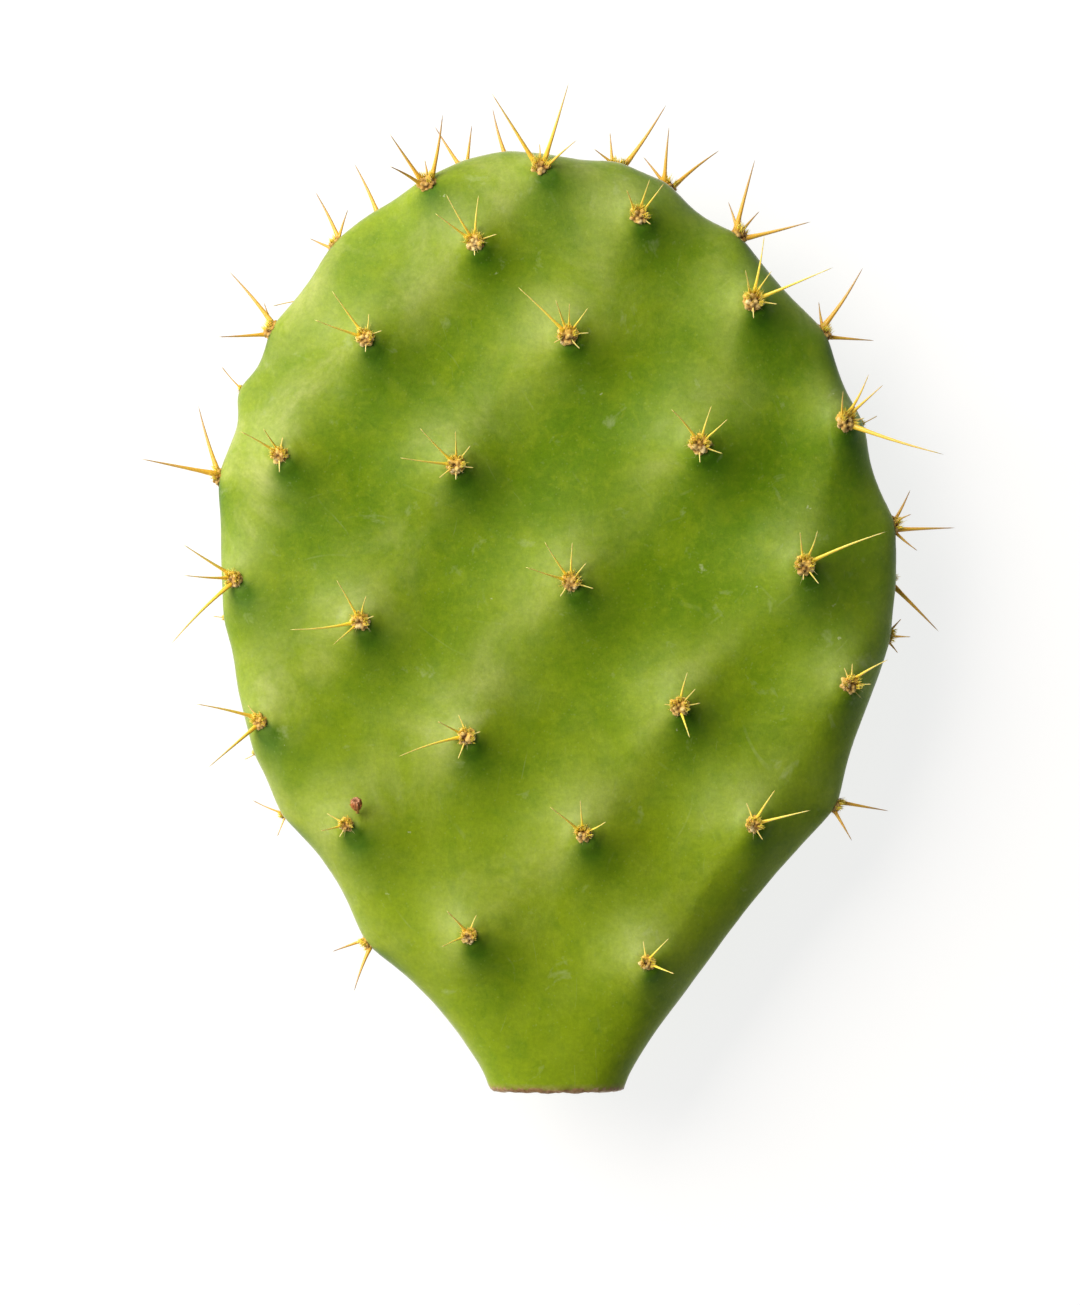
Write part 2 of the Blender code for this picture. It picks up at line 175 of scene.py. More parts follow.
# Tufts of fine bristles, and single hairs
TUFTS = 6
TUFT_ARC = (-15.0, 195.0)  # round the cushion, over its side towards the pad's tip
TUFT_STRAY = 12.0  # along the arc
TUFT_FOOT = (0.5, 0.3)  # from the cushion's middle and above the skin, over its radius
TUFT_LEAN = (0.2, 0.6)  # away from the middle, over its rise
TUFT_TIPWARDS = 0.15  # and towards the pad's tip
TUFT_WIDTH = 0.12  # over the cushion's radius
TUFT_SPLAY = 0.13
TUFT_TONE = 9.0  # bristles take the colour of a spine this long
BRISTLES = 20  # in each tuft
BRISTLE_POINTS = 4
BRISTLE_LENGTH = (0.45, 0.75)  # over the cushion's radius
BRISTLE_MAKE = (0.075, 0.6, 4)  # as for the fibres
BRISTLE_TONES = (0.1, 0.55)  # from where to where along a spine its colours are
HAIRS = 4
HAIR_POINTS = 5
HAIR_FOOT = 0.5  # from the cushion's middle, over its radius
HAIR_RISE = (0.3, 1.2)  # over its way outwards
HAIR_LENGTH = (0.6, 1.2)  # over the cushion's radius
HAIR_MAKE = (0.035, 0.7, 4)
HAIR_CURL = 0.12
HAIR_AGE = 0.5

# Areoles on the rim that are too small to be solids of their own: bearing from SPREAD_FROM, height
# over the rim's middle, the mound's rise, the cushion's radius, and the spine's heading and length
SPREAD_FROM = (0.0, 0.5)
SMALL_AREOLES = (
    (129.4, -4.0, 0.3, 1.0, -167.0, 7.0),
    (147.0, 0.0, 2.2, 0.8, 130.0, 5.2),
    (-175.0, 0.0, 0.6, 0.8, 170.0, 2.2),
    (-151.0, 0.0, 0.6, 0.8, -150.0, 2.2),
    (28.0, 0.0, 0.8, 1.0, 28.0, 3.4),
)
SMALL_MOUND_REACH = 4.5
SMALL_GIRTH = 0.6
SMALL_SPINE_RISE = 0.25  # its climb over its length along the ground

# The dried bud. Places along it go from 0 at its foot to 1 in the hollow at its top
BUD_PROFILE = (
    (0.4, 0.0), (0.42, 0.12), (0.5, 0.22), (0.8, 0.32), (1.1, 0.45), (1.26, 0.58), (1.3, 0.7),
    (1.2, 0.82), (0.98, 0.92), (0.8, 0.97), (0.55, 0.95), (0.25, 0.9),
)  # radius, and height over the bud's own height
BUD_GIRTH = 0.88  # over the radii in the profile
BUD_TURN = 45.0  # about the vertical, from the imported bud's lean
BUD_SIDES = 48
BUD_RINGS = 40
BUD_WRINKLES = (0.09, 9)  # depth and number
BUD_WRINKLE_SWAY = (2.5, 0.6)  # in radians of a wrinkle, and changes in a millimetre
BUD_ROUGHNESS = (0.07, 0.5)  # over the radius, and its length
BUD_SCALES = 16
SCALE_SPAN = (0.42, 0.92)
SCALE_SIZE = (0.62, 0.42)  # length and width
SCALE_VARIATION = (0.8, 1.2)
SCALE_ROWS = 6
SCALE_CLIMB = 0.8  # along the bud, over its length
SCALE_LIFT = (0.03, 0.22)  # off the bud at its foot, and what its tip adds
SCALE_OUTLINE = (0.18, 0.8)  # where its half wave starts, and how pointed it is
SCALE_KEEL = 0.05  # its middle stands out and its edges lie back
SCALE_INSIDE = (0.07, 0.3)  # thickness, and slip along the bud over that
SCALE_TONE = (0.15, 0.1)  # how much further up its colour is from, and its groove

# Colours, as linear red, green and blue. A ramp gives some places and their colours
SKIN_GREEN = (0.114, 0.204, 0.0008)
# Painted shade: deeper greens on the right, away from the light, and down in the valleys
SHADE_ON_RIGHT = ("X", -10.0, 65.0, 0.0, 0.5)
SHADE_IN_VALLEYS = ("valley", 0.15, 0.7, 0.0, 0.76)
SKIN_LAYERS = {
    "light": Layer((0.164, 0.252, 0.0012), (("noise", 0.35, 0.65),), (34.0, 2.0)),
    "mottle": Layer((0.235, 0.305, 0.003), (("noise", 0.42, 0.66, 0.0, 0.5),), (9.0, 5.0, 0.65, 0.5)),
    # Painted shade in the valleys, on the right and in the right's valleys
    "valleys": Layer((0.083, 0.176, 0.0003), (SHADE_IN_VALLEYS,)),
    "right": Layer((0.092, 0.196, 0.0004), (SHADE_ON_RIGHT,)),
    "right valleys": Layer((0.046, 0.122, 0.0003), (SHADE_ON_RIGHT, SHADE_IN_VALLEYS)),
    # Painted light: paler green towards the cut end, standing in for light bounced onto it
    "painted light at lower end": Layer((0.255, 0.315, 0.004), (("Y", -60.0, 20.0, 0.4, 0.0),)),
    "dull": Layer((0.072, 0.158, 0.001), (("noise", 0.48, 0.68, 0.0, 0.42),), (5.0, 5.0, 0.6, 0.3)),
    "blotches": Layer((0.205, 0.29, 0.003), (("noise", 0.5, 0.68, 0.0, 0.36),), (7.0, 4.0, 0.6, 0.8)),
    "flecks": Layer((0.225, 0.305, 0.008), (("noise", 0.5, 0.72, 0.0, 0.35),), (2.2, 4.0, 0.65, 0.6)),
    # A pale waxy coat in patches, with painted light over it: more on the left, on slopes facing the light
    # and along ridges, less in valleys
    "bloom and painted light": Layer((0.312, 0.362, 0.105), (
        ("noise", 0.42, 0.7, 0.1, 0.6), ("X", -60.0, 45.0, 1.1, 0.45), ("sunward", -0.24, 0.2, 0.3, 1.2),
        ("ridge", 0.2, 0.9, 0.8, 1.7), ("valley", 0.12, 0.6, 1.2, 0.3),
    ), (16.0, 6.0, 0.66, 0.6)),
    # Painted light: paler green on mound tops, most where they face the light
    "painted light on crests": Layer(
        (0.235, 0.315, 0.012), (("crest", 0.2, 0.9, 0.0, 0.28), ("sunward", -0.25, 0.1, 0.1, 1.0)),
    ),
    # Painted highlight: pale skin on the side of each cushion towards the light
    "painted highlight above cushions": Layer(
        (0.3, 0.37, 0.13), (("above", 0.0, 1.0), ("noise", 0.3, 0.7, 0.2, 0.6)), (3.0, 4.0, 0.6),
    ),
    # Painted shade: dark green skin on the side of each cushion away from the light
    "painted shade below cushions": Layer((0.018, 0.088, 0.0005), (("below", 0.03, 0.45, 0.0, 0.78),)),
}
SPECK_NOISE = (0.8, 3.0, 0.7)
SPECK_RAMP = ((0.0, (0.36, 0.38, 0.36)), (1.0, (0.65, 0.64, 0.62)))
SPECK_SHARE = 0.38
SCRATCH = ((0.42, 0.47, 0.25), (("scratches", 0.0, 1.0, 0.0, 0.12),))
SCRATCH_BENDS = (45.0, 22.0)
SCRATCH_WAVES = 0.35  # in a scratch's length
NICK = ((0.48, 0.52, 0.32), (("nicks", 0.0, 1.0, 0.0, 0.4),))
NICK_BENDS = (0.9, 0.5)
SKIN_MARKS = {
    "pores": Layer((0.32, 0.4, 0.14), (("dots", 0.08, 0.18, 0.12, 0.0),), (1.25,)),
    "smudges": Layer((0.36, 0.42, 0.22), (("noise", 0.63, 0.8, 0.0, 0.42),), (6.0, 4.0, 0.66, 0.4)),
    "scratches": Layer(*SCRATCH, ("X", 8.0)),
    "slanting scratches": Layer(*SCRATCH, ("DIAGONAL", 11.0)),
    "nicks": Layer(*NICK, (5.0, 0.35, 0.35)),
    "larger nicks": Layer(*NICK, (16.0, 0.8, 0.3)),
}
GLOSS_NOISE = (9.0, 4.0, 0.6)
GLOSS_SPREAD = (0.3, 0.7, 0.46, 0.62)
BUMP_NOISE = (0.45, 3.0, 0.6)
BUMP_STRENGTH = 0.35
BUMP_HEIGHT = 0.12
CORK_ZONES = (
    (0.0, (0.6, 0.46, 0.27)), (0.3, (0.54, 0.39, 0.2)), (0.46, (0.34, 0.2, 0.09)),
    (0.56, (0.5, 0.36, 0.19)), (0.8, (0.36, 0.22, 0.1)), (0.95, (0.16, 0.08, 0.035)),
)
CORK_ZONE_BENDS = 3.0  # length of the noise that is added to the place on the cut
CORK_ZONE_ENDS = (0.4, 1.6)
CORK_FIBRES = ((0.3, (0.15, 0.075, 0.03)), (0.52, (0.42, 0.28, 0.14)), (0.72, (0.7, 0.56, 0.36)))
CORK_FIBRE_NOISE = (1.2, 5.0, 0.65)
CORK_ZONE_SHARE = 0.5  # over the fibres
CORK_STRANDS = Layer((0.12, 0.055, 0.022), (
    ("rings", 0.42, 0.5), ("rings", 0.62, 0.7, 1.0, 0.0), ("dots", 0.22, 0.36, 0.8, 0.0),
), (1.3,))
# The felt is painted darker down between its lumps and in its hollow and paler on its lumps: painted shade
FELT_DEPTHS = (
    (0.0, (0.07, 0.028, 0.003)), (0.3, (0.32, 0.16, 0.02)), (0.65, (0.78, 0.56, 0.18)),
    (1.0, (0.96, 0.84, 0.46)),
)
FELT_HUES = (
    (0.0, (0.42, 0.23, 0.05)), (0.3, (0.68, 0.44, 0.13)), (0.6, (0.88, 0.61, 0.17)),
    (1.0, (0.98, 0.85, 0.5)),
)
FELT_HUE_SHARE = 0.6
FELT_LAYERS = {
    "golden side": Layer((0.9, 0.55, 0.035), (("tipwards", -0.2, 0.7, 0.0, 0.62),)),
    "old": Layer((0.34, 0.17, 0.02), (("weathered", 0.0, 1.0, 0.0, 0.55),)),
    # Painted shade: darker still down between the lumps
    "painted shade in crevices": Layer((0.09, 0.035, 0.004), (("depth", 0.1, 0.5, 0.85, 0.0),)),
    "grain": Layer((0.24, 0.11, 0.02), (("noise", 0.3, 0.7, 0.0, 0.45),), (0.22, 2.0, 0.7)),
}
SPINE_FRESH = (
    (0.0, (0.68, 0.43, 0.012)), (0.12, (0.88, 0.65, 0.035)), (0.5, (0.88, 0.71, 0.12)),
    (0.8, (0.8, 0.66, 0.2)), (1.0, (0.62, 0.5, 0.2)),
)
SPINE_OLD = (
    (0.0, (0.5, 0.25, 0.012)), (0.15, (0.68, 0.38, 0.028)), (0.45, (0.64, 0.38, 0.06)),
    (0.72, (0.42, 0.27, 0.1)), (1.0, (0.14, 0.1, 0.08)),
)
SPINE_LAYERS = {
    "short": Layer((0.86, 0.68, 0.28), (("length", 2.5, 5.0, 0.75, 0.0),)),
    "tint": Layer((0.8, 0.57, 0.08), (("tint", 0.0, 1.0, 0.0, 0.2),)),
    "flecks": Layer((0.6, 0.36, 0.03), (("noise", 0.45, 0.7, 0.0, 0.25),), (0.8, 2.0)),
}
BUD_RAMP = (
    (0.0, (0.6, 0.42, 0.06)), (0.25, (0.5, 0.28, 0.04)), (0.42, (0.44, 0.16, 0.025)),
    (0.7, (0.36, 0.105, 0.022)), (0.86, (0.62, 0.34, 0.2)), (1.0, (0.18, 0.07, 0.03)),
)
BUD_LAYERS = {
    # Painted shade: darker down in the grooves of the bud's wrinkles
    "grooves": Layer((0.1, 0.022, 0.008), (("groove", 0.3, 1.0, 0.0, 0.6),)),
    "patches": Layer((0.5, 0.22, 0.09), (("noise", 0.45, 0.7, 0.0, 0.55),), (0.7, 3.0, 0.6)),
}

# Camera and light, around the point that the camera looks at
VIEW_CENTRE = (-1.9, -11.4)
VIEW_HEIGHT = 248.0  # what the picture's long side takes in at the pad's middle
CAMERA_DISTANCE = 1100.0
SENSOR = 36.0
FLOOR_SIZE = 12000.0
FLOOR_SHADE = 0.22
FLOOR_GLOW = 0.8
WORLD_COLOUR = (0.92, 0.98, 1.0)
WORLD_STRENGTH = 0.18
KEY = (147.0, 40.0, 900.0, 780.0, 17.0)  # bearing, height, distance, size, power
SIDE = (215.0, 10.0, 600.0, 520.0, 1.9)
LIGHT_COLOUR = (1.0, 0.93, 0.83)


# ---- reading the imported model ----


def packed_shape(node):
    """A CAD node's mesh in millimetres, with its corners joined."""
    shape = bmesh.new()
    shape.from_mesh(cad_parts[node].data)
    bmesh.ops.scale(shape, vec=(1 / MM, 1 / MM, 1 / MM), verts=shape.verts[:])
    bmesh.ops.remove_doubles(shape, verts=shape.verts[:], dist=WELD)
    return shape


def flat_side(shape):
    """Middle, outward normal and radius of the flat side that faces the skin: its largest flat patch."""
    patches = {}
    for face in shape.faces:
        patches.setdefault(tuple(round(share, 2) for share in face.normal), []).append(face)
    patch = max(patches.values(), key=lambda faces: sum(face.calc_area() for face in faces))
    area = sum(face.calc_area() for face in patch)
    middle = sum((face.calc_center_median() * face.calc_area() for face in patch), Vector()) / area
    normal = -sum((face.normal * face.calc_area() for face in patch), Vector()).normalized()
    radius = max((corner.co - middle).length for face in patch for corner in face.verts)
    return middle, normal, radius


def read_areole(node):
    """An areole node's cushion and spines. A spine's tip is a corner whose edges all run the same way."""
    shape = packed_shape(node)
    middle, normal, radius = flat_side(shape)
    spines = []
    for corner in shape.verts:
        aims = [(edge.other_vert(corner).co - corner.co).normalized() for edge in corner.link_edges]
        inwards = sum(aims, Vector()) / len(aims)
        if inwards.length > STRAIGHT and (corner.co - middle).length > OUTSIDE_CUSHION * radius:
            inwards.normalize()
            root = corner.co + inwards * (middle - corner.co).dot(inwards)
            spines.append((root, corner.co.copy()))
    shape.free()
    share = FAINT.get(node, 1.0)
    girth = share * (1 + RIM_GIRTH * weathered(normal))
    return Areole(node, middle, normal, radius * share, tuple(spines), girth)


# ---- meshes ----


def linked(name, data):
    """A new object in the scene."""
    made = bpy.data.objects.new(name, data)
    bpy.context.scene.collection.objects.link(made)
    return made


def as_array(points):
    return np.array([tuple(point) for point in points], float).reshape(-1, 3)


def vectors(items, name):
    """The named vector of each item, as rows of an array."""
    numbers = np.empty(len(items) * 3, np.float32)
    items.foreach_get(name, numbers)
    return numbers.reshape(-1, 3).astype(float)


def set_points(mesh, points):
    mesh.vertices.foreach_set("co", points.astype(np.float32).ravel())
    mesh.update()


def set_values(mesh, values):
    """One float per vertex for each name, which the materials read."""
    for name, numbers in values.items():
        layer = mesh.attributes.new(name, "FLOAT", "POINT")
        layer.data.foreach_set("value", np.asarray(numbers, np.float32))


def add_piece(name, mesh, material, node):
    """A finished mesh in millimetres becomes a piece. It replaces the node, if the frame has it."""
    mesh.materials.append(material)
    set_points(mesh, vectors(mesh.vertices, "co") * MM)
    mesh.shade_smooth()
    piece = linked(name, mesh)
    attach(piece, BODY)
    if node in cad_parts:
        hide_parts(node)
    return piece


class Net:
    """Vertices, faces and values of several shapes, gathered into one mesh."""

    def __init__(self):
        self.points = []
        self.faces = []
        self.values = {}
        self.count = 0

    def add(self, points, faces, **values):
        self.points.append(points)
        self.faces += [tuple(self.count + corner for corner in face) for face in faces]
        self.count += len(points)
        for name, numbers in values.items():
            self.values.setdefault(name, []).append(np.broadcast_to(numbers, len(points)))

    def mesh(self, name):
        made = bpy.data.meshes.new(name)
        made.from_pydata(np.concatenate(self.points), [], self.faces)
        set_values(made, {value: np.concatenate(numbers) for value, numbers in self.values.items()})
        return made


def ray_tree(mesh, millimetre):
    """The mesh made ready for rays in millimetres."""
    points = [corner.co / millimetre for corner in mesh.vertices]
    return BVHTree.FromPolygons(points, [tuple(face.vertices) for face in mesh.polygons])


def level(bearing):
    """The unit vector at a bearing, in degrees from +X towards +Y."""
    return Vector((math.cos(math.radians(bearing)), math.sin(math.radians(bearing)), 0))


def across(direction):
    """Two unit vectors square to a direction and to each other."""
    first = direction.orthogonal().normalized()
    return first, direction.cross(first).normalized()


def ring_faces(rings, sides):
    """A cap on the first of some rings of corners, and the faces between each ring and the next."""
    faces = [tuple(reversed(range(sides)))]
    for low in range(0, (rings - 1) * sides, sides):
        for side in range(sides):
            after = (side + 1) % sides
            faces.append((low + side, low + after, low + sides + after, low + sides + side))
    return faces


def shell_faces(rows, columns):
    """The faces of a thin shell: a grid of outer corners, then the same grid of inner ones."""
    grid = np.arange(rows * columns).reshape(rows, columns)
    outer = np.stack([grid[:-1, :-1], grid[:-1, 1:], grid[1:, 1:], grid[1:, :-1]], axis=2).reshape(-1, 4)
    edge = np.concatenate([grid[0], grid[1:, -1], grid[-1, -2::-1], grid[-2:0:-1, 0]])
    after = np.roll(edge, -1)
    rim = np.stack([after, edge, edge + grid.size, after + grid.size], axis=1)
    return np.concatenate([outer, outer[:, ::-1] + grid.size, rim]).tolist()


def tube(line, radii, sides, flatness=1.0):
    """A closed tube along a line of points, with a flat cap at its near end and a point at its far one."""
    line = np.asarray(line, float)
    chord = Vector(line[-1] - line[0]).normalized()
    first, second = (np.array(axis) for axis in across(chord))
    turns = np.arange(sides) * 2 * math.pi / sides
    ring = np.outer(np.cos(turns), first) + np.outer(np.sin(turns), second) * flatness
    rings = line[:-1, None, :] + np.asarray(radii)[:-1, None, None] * ring[None]
    points = np.concatenate([rings.reshape(-1, 3), line[-1:]])
    faces = ring_faces(len(rings), sides)
    last = (len(rings) - 1) * sides
    faces += [(last + side, last + (side + 1) % sides, len(points) - 1) for side in range(sides)]
    along = np.append(np.repeat(np.linspace(0, 1, len(line))[:-1], sides), 1.0)
    return points, faces, along


def waves(points, height, length, seed):
    """Smooth noise at each point, between about minus and plus the height."""
    shift = Vector([seed * step for step in SEED_STEPS])
    return height * np.array([noise.noise(Vector(point) / length + shift) for point in points])


def fall(away, reach, sharpness=2):
    """1 at no distance, about a third at the reach, and on towards 0."""
    return np.exp(-((np.abs(away) / reach) ** sharpness))


# ---- skin ----


def even_net():
    """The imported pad, rounded by subdivision and laid out again in small even squares."""
    shape = packed_shape("pad")
    bmesh.ops.join_triangles(
        shape, faces=shape.faces[:], angle_face_threshold=math.pi, angle_shape_threshold=math.pi
    )
    crease = shape.edges.layers.float.new("crease_edge")
    for edge in shape.edges:
        on_cut = [face.normal.y < -CUT_FACING for face in edge.link_faces]
        if on_cut.count(True) == 1:
            edge[crease] = 1.0
    cage = bpy.data.meshes.new("cage")
    shape.to_mesh(cage)
    shape.free()
    holder = linked("cage", cage)
    holder.modifiers.new("rounding", "SUBSURF").levels = SUBDIVISIONS
    net = holder.modifiers.new("net", "REMESH")
    net.mode = "VOXEL"
    net.voxel_size = NET_SIZE
    evaluated = holder.evaluated_get(bpy.context.evaluated_depsgraph_get())
    made = bpy.data.meshes.new_from_object(evaluated)
    bpy.data.objects.remove(holder)
    return made


def smoothed(points, edges, held):
    """Moves each point towards the middle of its neighbours, except where held is 1."""
    here = edges.ravel()
    there = edges[:, ::-1].ravel()
    count = np.bincount(here, minlength=len(points))[:, None]
    for _ in range(SMOOTHING_ROUNDS):
        total = np.stack([np.bincount(here, axis[there], len(points)) for axis in points.T], axis=1)
        points = points + (total / count - points) * SMOOTHING_SHARE * (1 - held)[:, None]
    return points


def smooth_net(mesh):
    """Smooths the net apart from its flat cut end. Returns its points, and 1 for those on the cut."""
    points = vectors(mesh.vertices, "co")
    edges = np.empty(len(mesh.edges) * 2, np.int32)
    mesh.edges.foreach_get("vertices", edges)
    on_cut = (points[:, 1] < points[:, 1].min() + NET_SIZE / 2).astype(float)
    points = smoothed(points, edges.reshape(-1, 2), on_cut)
    set_points(mesh, points)
    return points, on_cut


def ridges(areoles):
    """Pairs of areoles that a ridge joins: each with its nearest neighbour along the ridges."""
    course = level(RIDGE_HEADING)
    pairs = []
    for areole in areoles:
        best = None
        for other in areoles:
            step = other.middle - areole.middle
            if other is areole or step.length > RIDGE_LENGTH or areole.normal.dot(other.normal) < 0:
                continue
            turn = math.degrees(Vector((step.x, step.y, 0)).angle(course))
            if turn < RIDGE_TURN and (best is None or step.length < (best.middle - areole.middle).length):
                best = other
        if best is not None:
            pairs.append((areole, best))
    return pairs


def away_from_line(points, start, end):
    """Distance of each point from the straight line between two points."""
    start = np.array(start)
    run = np.array(end) - start
    share = np.clip((points - start) @ run / (run @ run), 0, 1)
    return np.linalg.norm(points - start - share[:, None] * run, axis=1)


def skin_gap(tree, areole):
    """How far the skin is below where it should meet a cushion, along the cushion's normal."""
    hit = tree.ray_cast(areole.middle + areole.normal * JUST_OUT, -areole.normal)[0]
    return (areole.middle - hit).dot(areole.normal) + FELT_SUNK


def middle_height():
    return (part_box("pad")[0].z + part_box("pad")[1].z) / 2 / MM


def rim_spot(tree, bearing, lift):
    """Where a level ray towards the pad's middle meets its rim, and the skin's normal there."""
    outwards = level(bearing)
    start = Vector((*SPREAD_FROM, middle_height() + lift)) + outwards * FAR_OUT
    return tree.ray_cast(start, -outwards)[:2]


def around_areoles(points, normals, tree, areoles):
    """How far mounds and collars push the skin out, and the skin's values round the areoles."""
    push = np.zeros(len(points))
    crest = below = above = np.zeros(len(points))
    valley = np.ones(len(points))
    for areole in areoles:
        offset = points - np.array(areole.middle)
        away = np.linalg.norm(offset, axis=1)
        facing = np.clip(normals @ np.array(areole.normal), 0, 1)
        mound = facing * fall(away, *MOUND)
        collar = facing * fall(away - areole.radius - COLLAR_OFFSET, COLLAR_WIDTH)
        push += skin_gap(tree, areole) * mound + COLLAR_RISE * areole.normal.z**2 * collar
        crest = np.maximum(crest, mound)
        shaded = offset @ np.array(SHADED_SIDE) / np.maximum(away, 1)
        # Painted shade: dark skin on the side of each cushion away from the light
        below = np.maximum(below, facing * np.clip(shaded, 0, 1) ** 2 * fall(away, BELOW_REACH, 1))
        # Painted highlight: pale skin on the side of each cushion towards the light
        above = np.maximum(above, facing * np.clip(-shaded, 0, 1) * fall(away, ABOVE_REACH))
        valley *= 1 - facing * fall(away, *CREST)
    return push, {"crest": crest, "below": below, "above": above, "valley": valley}


def small_mounds(points, tree):
    """How far the mounds of the small areoles push the skin out."""
    push = np.zeros(len(points))
    for bearing, lift, rise, *_ in SMALL_AREOLES:
        away = np.linalg.norm(points - np.array(rim_spot(tree, bearing, lift)[0]), axis=1)
        push += rise * fall(away, SMALL_MOUND_REACH)
    return push


def along_ridges(points, normals, areoles):
    """How near each point is to a ridge, from 0 to 1, and what share of the valleys is left."""
    wandering = points + np.stack([waves(points, *WANDER, seed) for seed in WANDER_SEEDS], 1)
    ridge = np.zeros(len(points))
    left = np.ones(len(points))
    for first, second in ridges(areoles):
        away = away_from_line(wandering, first.middle, second.middle)
        facing = np.clip(normals @ np.array((first.normal + second.normal).normalized()), 0, 1)
        rise = facing * fall(away, *RIDGE)
        ridge = np.maximum(ridge, rise)
        left *= 1 - RIDGE_SHARE * rise
    return ridge, left


def shape_skin(mesh, areoles):
    """Gives the even net its mounds, valleys, waves and cut end. Returns the values that colour it."""
    points, on_cut = smooth_net(mesh)
    normals = vectors(mesh.vertex_normals, "vector")
    tree = ray_tree(mesh, 1)
    push, values = around_areoles(points, normals, tree, areoles)
    push += small_mounds(points, tree)
    values["ridge"], left = along_ridges(points, normals, areoles)
    on_rim = VALLEY_SHARE_ON_RIM + (1 - VALLEY_SHARE_ON_RIM) * normals[:, 2] ** 2
    values["valley"] *= left * on_rim
    depth = VALLEY_DEPTH * (1 + waves(points, *VALLEY_UNEVENNESS))
    depth *= 1 + VALLEY_LEAN * points[:, 0] / points[:, 0].max()
    cut_row = points[:, 1].min()
    relief = waves(points, *SWELL) - depth * values["valley"]
    push += relief * np.clip((points[:, 1] - cut_row) / CUT_BLEND, 0, 1) + waves(points, *RIPPLE)
    points = points + normals * push[:, None] * (1 - on_cut)[:, None]
    points, values["callus"], values["rings"] = shape_cut(points, on_cut, cut_row)
    set_points(mesh, points)
    # How much each slope faces the light; the painted light follows it
    values["sunward"] = vectors(mesh.vertex_normals, "vector") @ np.array(level(SUN_BEARING))
    return values


def shape_cut(points, on_cut, cut_row):
    """Dishes the cut end like a dried wound. Returns the points, how corky each is and its place."""
    flat = points[on_cut > 0]
    middle = (flat.min(0) + flat.max(0)) / 2
    half = (flat.max(0) - flat.min(0)) / 2
    sideways = (points[:, 0] - middle[0]) / half[0]
    upwards = (points[:, 2] - middle[2]) / half[2]
    rings = np.hypot(sideways, upwards)
    lip, place, reach = CUT_LIP
    dish = CUT_DEPTH * np.clip(1 - rings**2, 0, 1) - lip * fall(rings - place, reach)
    depth, number = CUT_FOLDS
    folds = depth * np.cos(np.arctan2(upwards, sideways) * number + waves(points, *CUT_FOLD_SWAY))
    folds *= np.clip(rings - CUT_FOLD_START, 0, 1) * np.clip((1 - rings) / CUT_FOLD_FADE, 0, 1)
    points[:, 1] += on_cut * (dish + folds + waves(points, *CUT_GRAIN))
    near = np.clip(1 - (points[:, 1] - cut_row) / CORK_CLIMB, 0, 1)
    return points, np.maximum(on_cut, near * CORK_CLIMB_SHARE), np.clip(rings, 0, CUT_OUTSIDE)


def add_skin(areoles, material):
    mesh = even_net()
    set_values(mesh, shape_skin(mesh, areoles))
    return add_piece("skin", mesh, material, "pad")


# ---- felt ----


def even_directions(count, wander, random):
    """Directions spread evenly over a ball, each moved a little at random."""
    turns = np.arange(count) * SPIRAL
    heights = 1 - 2 * (np.arange(count) + 0.5) / count
    flat = np.sqrt(1 - heights**2)
    spots = np.stack([np.cos(turns) * flat, np.sin(turns) * flat, heights], axis=1)
    spots += random.normal(0, wander, spots.shape)
    return spots / np.linalg.norm(spots, axis=1)[:, None]


def unit_ball():
    ball = bmesh.new()
    bmesh.ops.create_icosphere(ball, subdivisions=BALL_SUBDIVISIONS, radius=1.0)
    points = as_array(corner.co for corner in ball.verts)
    faces = [tuple(corner.index for corner in face.verts) for face in ball.faces]
    ball.free()
    return points, faces


def weathered(normal):
    """1 on the rim, where felt and spines are browner, down to 0 where the pad lies level."""
    return min(max((LEVEL - abs(normal.z)) / (LEVEL - STEEP), 0.0), 1.0)


def areole_axes(areole):
    """The areole's own axes as columns: across, towards the pad's tip, and out of the skin."""
    out = areole.normal
    tipwards = Vector((0, 1, 0)) - out * out.y
    if tipwards.length < LEAST_TIPWARDS:
        tipwards = UP - out * out.z
    tipwards.normalize()
    return np.stack([np.array(tipwards.cross(out)), np.array(tipwards), np.array(out)], axis=1)


def in_place(areole, points):
    """Points given from the areole's middle in its own axes, in the pad's."""
    return points @ areole_axes(areole).T + np.array(areole.middle)


def strand(areole, line, radius, thinning, sides):
    """A fine tube along a line that is given in the areole's own axes."""
    radii = radius * (1 - thinning * np.linspace(0, 1, len(line)))
    return tube(in_place(areole, line), radii, sides)


def lumpy(directions, random):
    """How far out the felt is in each direction, over its radius, how raised, and its lump's tint."""
    spots = even_directions(LUMPS, LUMP_WANDER, random)
    heights = 1 - LUMP_UNEVENNESS * random.random(LUMPS)
    tints = random.random(LUMPS)
    away = np.arccos(np.clip(directions @ spots.T, -1, 1))
    lumps = heights * (1 - np.clip(away / LUMP_REACH, 0, LUMP_FOOT) ** 2)
    bulge = lumps.max(1)
    seed = random.random() * SEED_SPAN
    rough = sum(waves(directions, height, length, seed) for height, length in FELT_GRAIN)
    hollow = HOLLOW[0] * fall(np.hypot(directions[:, 0], directions[:, 1]), HOLLOW[1])
    reach = 1 - LUMP_HEIGHT + LUMP_HEIGHT * bulge + rough - np.where(directions[:, 2] > 0, hollow, 0)
    return reach, np.clip(bulge - HOLLOW_SHADE * hollow, 0, 1), tints[lumps.argmax(1)]


